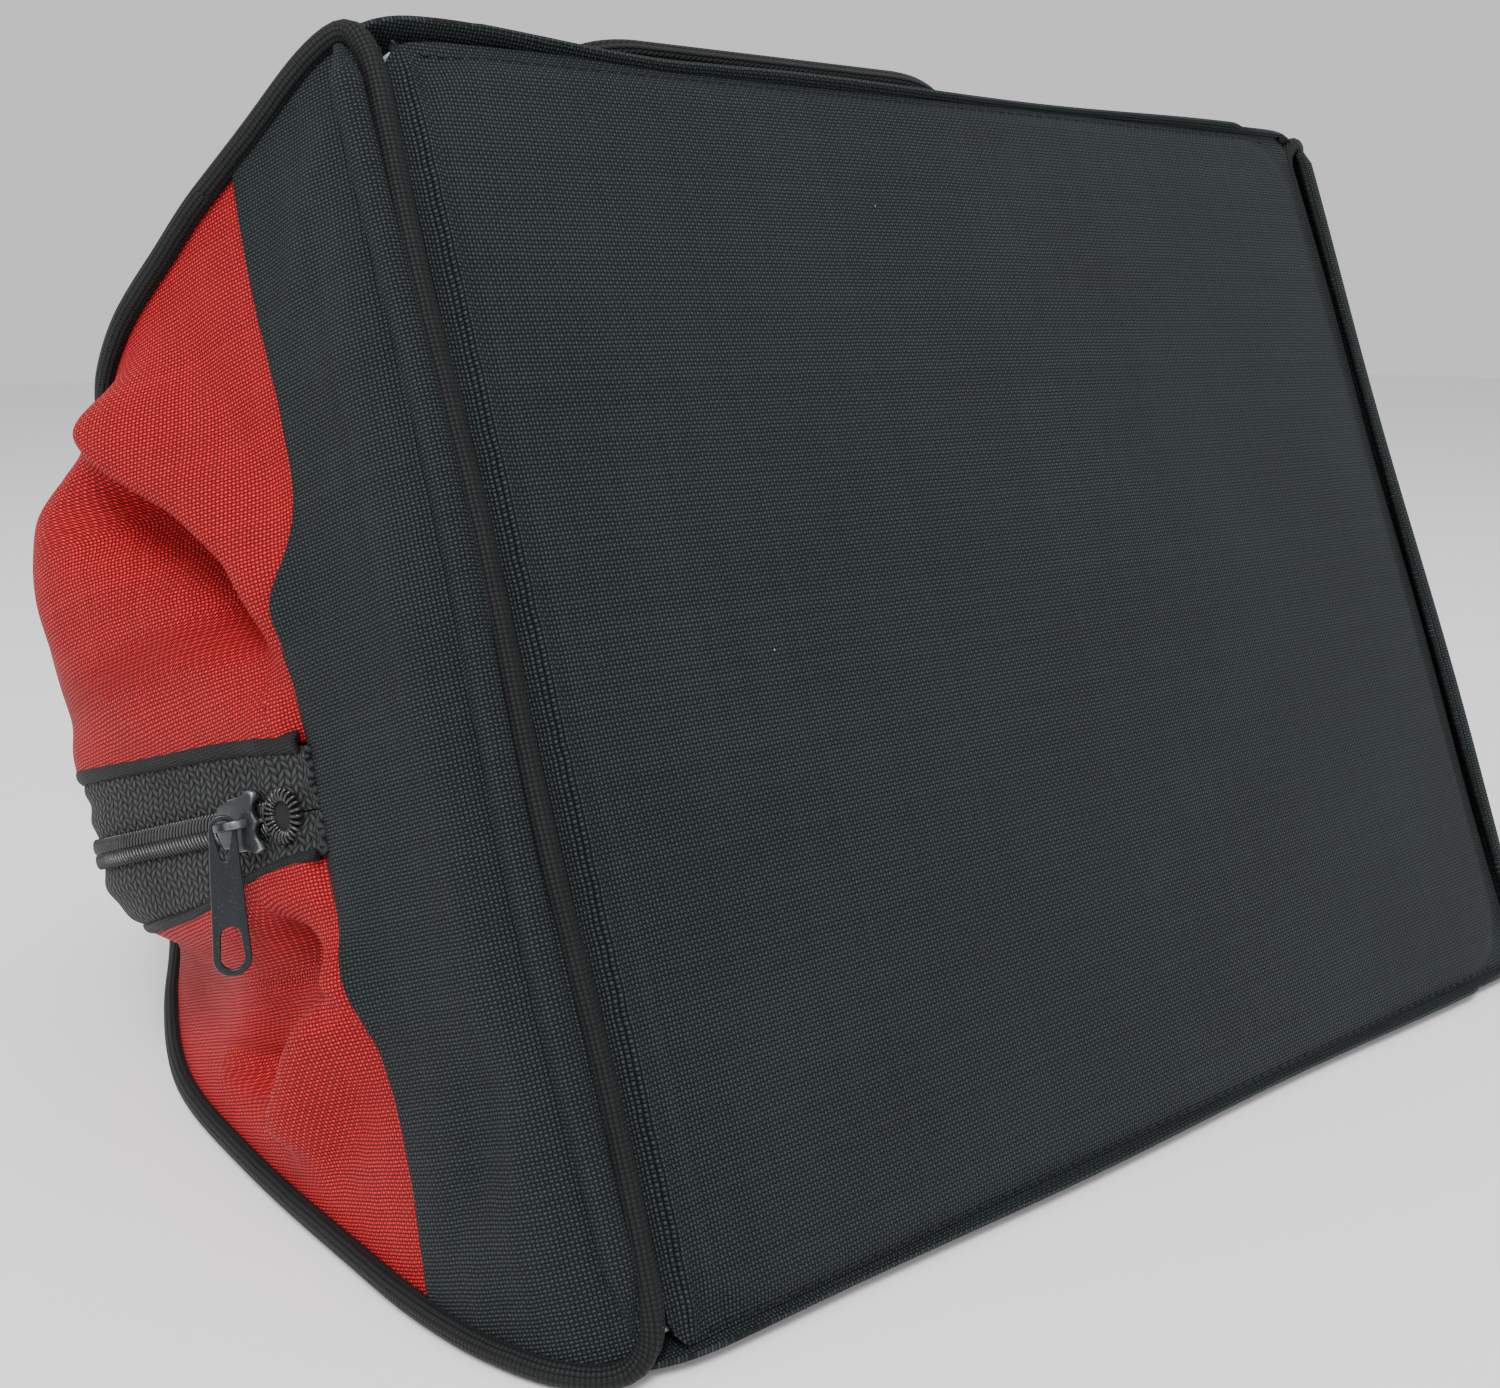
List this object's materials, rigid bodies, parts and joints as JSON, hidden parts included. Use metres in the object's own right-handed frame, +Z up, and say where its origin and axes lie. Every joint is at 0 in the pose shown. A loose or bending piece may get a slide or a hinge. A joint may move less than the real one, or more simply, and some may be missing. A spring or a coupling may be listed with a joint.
{
  "type": "lipo safe bag",
  "caption": "Soft gable-shaped fire-resistant bag with a stiff square base, piped ends, zipped ridge and webbing handles, lying on one side, for storing and carrying lithium batteries.",
  "frame": {"origin": "centre of the bounding box's bottom face, on the surface that the bag lies on, with the bag lying on its lower side panel", "axes": "+X along the bag from the zipper's closed end to its far end, +Y from the base towards the ridge as the bag lies, +Z up. To stand the bag on its base, turn it by +113.4 degrees about +X."},
  "size_m": [0.3892, 0.332, 0.2428],
  "materials": {
    "black_cloth": "coated plain weave polyester, slight sheen",
    "red_cloth": "coated plain weave polyester, slight sheen",
    "piping": "woven cloth wrapped round a cord",
    "binding": "folded ribbed tape, matt",
    "zip_tape": "heavy braided tape, matt",
    "coil": "nylon monofilament, satin",
    "webbing": "ribbed polypropylene webbing",
    "fire_lining": "silicone coated glass cloth, satin grey",
    "board": "stiff sheet, matt",
    "gunmetal": "dark lacquered zinc, worn edges"
  },
  "bodies": {
    "root": {"base_board": "board", "base_fabric": "black_cloth", "base_lining": "fire_lining", "far_band_lining": "fire_lining", "far_binding_lower": "binding", "far_coil_lower": "coil", "far_coil_upper": "coil", "far_end_band": "black_cloth", "far_gusset_lower": "red_cloth", "far_lining_lower": "fire_lining", "far_piping": "piping", "far_tape_lower": "zip_tape", "far_tape_upper": "zip_tape", "far_zip_eye": "coil", "lower_base_hem": "black_cloth", "lower_handle_ends": "webbing", "lower_side_band": "black_cloth", "lower_side_lining": "fire_lining", "lower_side_panel": "red_cloth", "near_band_lining": "fire_lining", "near_binding_lower": "binding", "near_coil_lower": "coil", "near_coil_upper": "coil", "near_end_band": "black_cloth", "near_gusset_lower": "red_cloth", "near_lining_lower": "fire_lining", "near_piping": "piping", "near_tape_lower": "zip_tape", "near_tape_upper": "zip_tape", "near_zip_eye": "coil", "ridge_binding_lower": "binding", "ridge_coil_lower": "coil", "ridge_tape_lower": "zip_tape", "upper_band_lining": "fire_lining", "upper_base_hem": "black_cloth", "upper_side_band": "black_cloth"},
    "mouth": {"far_binding_upper": "binding", "far_gusset_upper": "red_cloth", "far_lining_upper": "fire_lining", "far_piping_upper": "piping", "near_binding_upper": "binding", "near_gusset_upper": "red_cloth", "near_lining_upper": "fire_lining", "near_piping_upper": "piping", "ridge_binding_upper": "binding", "ridge_coil_upper": "coil", "ridge_tape_upper": "zip_tape", "upper_handle_ends": "webbing", "upper_side_lining": "fire_lining", "upper_side_panel": "red_cloth"},
    "slider": {"slider": "gunmetal"},
    "pull": {"pull_tab": "gunmetal"},
    "upper_handle": {"upper_handle_webbing": "webbing", "upper_handle_grip": "webbing"},
    "lower_handle": {"lower_handle_webbing": "webbing", "lower_handle_grip": "webbing"}
  },
  "joints": [
    {"name": "mouth", "type": "hinge", "parent": "root", "child": "mouth", "pos_m": [0, -0.03219, 0.20337], "axis": [1, 0, 0], "range_deg": [0, 28]},
    {"name": "slider", "type": "slide", "parent": "root", "child": "slider", "axis": [-0.3021, 0.8987, -0.3179], "range_m": [0, 0.038]},
    {"name": "pull", "type": "hinge", "parent": "slider", "child": "pull", "pos_m": [-0.18147, -0.0625, 0.08152], "axis": [-0.3021, 0.8987, -0.3179], "range_deg": [0, 170]},
    {"name": "upper_handle", "type": "hinge", "parent": "mouth", "child": "upper_handle", "pos_m": [0, 0.05445, 0.11033], "axis": [-1, 0, 0], "range_deg": [0, 165]},
    {"name": "lower_handle", "type": "hinge", "parent": "root", "child": "lower_handle", "pos_m": [0, 0.00647, 0], "axis": [-1, 0, 0], "range_deg": [0, 180]}
  ]
}
